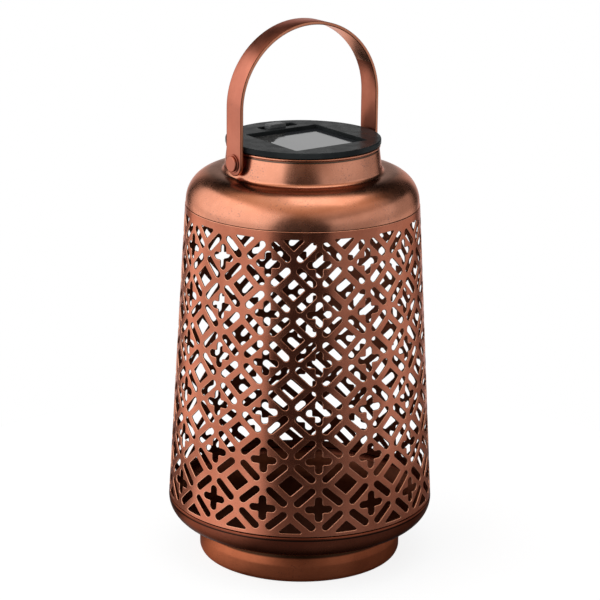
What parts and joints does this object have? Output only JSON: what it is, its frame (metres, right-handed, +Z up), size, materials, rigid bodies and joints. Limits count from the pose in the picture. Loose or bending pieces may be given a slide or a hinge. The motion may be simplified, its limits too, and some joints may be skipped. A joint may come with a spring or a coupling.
{
  "type": "solar lantern",
  "caption": "Round solar lantern with a pierced conical metal sleeve on a foot, a lift-out solar module in its neck and a swinging strap handle.",
  "frame": {"origin": "on the surface the lantern stands on, under the middle of its foot", "axes": "+Z up along the body's axis, +X along the pivot line of the handle's two rivets"},
  "size_m": [0.1636, 0.1636, 0.3329],
  "materials": {
    "antique_copper": "steel sheet with a satin antique copper finish, brown in the shade and brighter on its edges",
    "base_copper": "the same antique copper finish, darker and redder on the foot and pan",
    "handle_copper": "satin antique copper on the handle and its rivets",
    "lid_plastic": "charcoal moulded plastic, fine matt grain",
    "knob_plastic": "charcoal moulded plastic, a little smoother",
    "solar_cell": "dark grey cell under clear resin, glossy",
    "seal_rubber": "black rubber",
    "bare_steel": "plain zinc-plated steel",
    "circuit_board": "green solder mask",
    "battery_jacket": "plain green shrink sleeve",
    "led_resin": "clear warm-white lamp resin",
    "frosted_plastic": "frosted translucent plastic"
  },
  "bodies": {
    "lantern": {"foot_ring": "base_copper", "base_pan": "base_copper", "perforated_sleeve": "antique_copper", "shoulder_neck": "antique_copper", "handle_rivet_left": "handle_copper", "handle_rivet_right": "handle_copper", "handle_washer_left": "handle_copper", "handle_washer_right": "handle_copper", "handle_spacer_left": "handle_copper", "handle_spacer_right": "handle_copper"},
    "handle": {"handle_strap": "handle_copper"},
    "solar_module": {"solar_lid": "lid_plastic", "solar_cell": "solar_cell", "sealing_ring": "seal_rubber", "switch_body": "bare_steel", "module_housing": "lid_plastic", "circuit_board": "circuit_board", "battery": "battery_jacket", "battery_contact_plus": "bare_steel", "battery_contact_minus": "bare_steel", "led": "led_resin", "led_dome": "frosted_plastic", "battery_door": "lid_plastic", "housing_screw_1": "bare_steel", "housing_screw_2": "bare_steel", "housing_screw_3": "bare_steel", "board_screw_1": "bare_steel", "board_screw_2": "bare_steel", "door_screw_1": "bare_steel", "door_screw_2": "bare_steel"},
    "switch": {"switch_knob": "knob_plastic"}
  },
  "joints": [
    {"name": "handle_swing", "type": "hinge", "parent": "lantern", "child": "handle", "pos_m": [0, 0, 0.2524], "axis": [1, 0, 0], "range_deg": [-90, 90]},
    {"name": "module_lift", "type": "slide", "parent": "lantern", "child": "solar_module", "axis": [0, 0, 1], "range_m": [0, 0.026]},
    {"name": "switch_slide", "type": "slide", "parent": "solar_module", "child": "switch", "axis": [1, 0, 0], "range_m": [0, 0.003]}
  ]
}
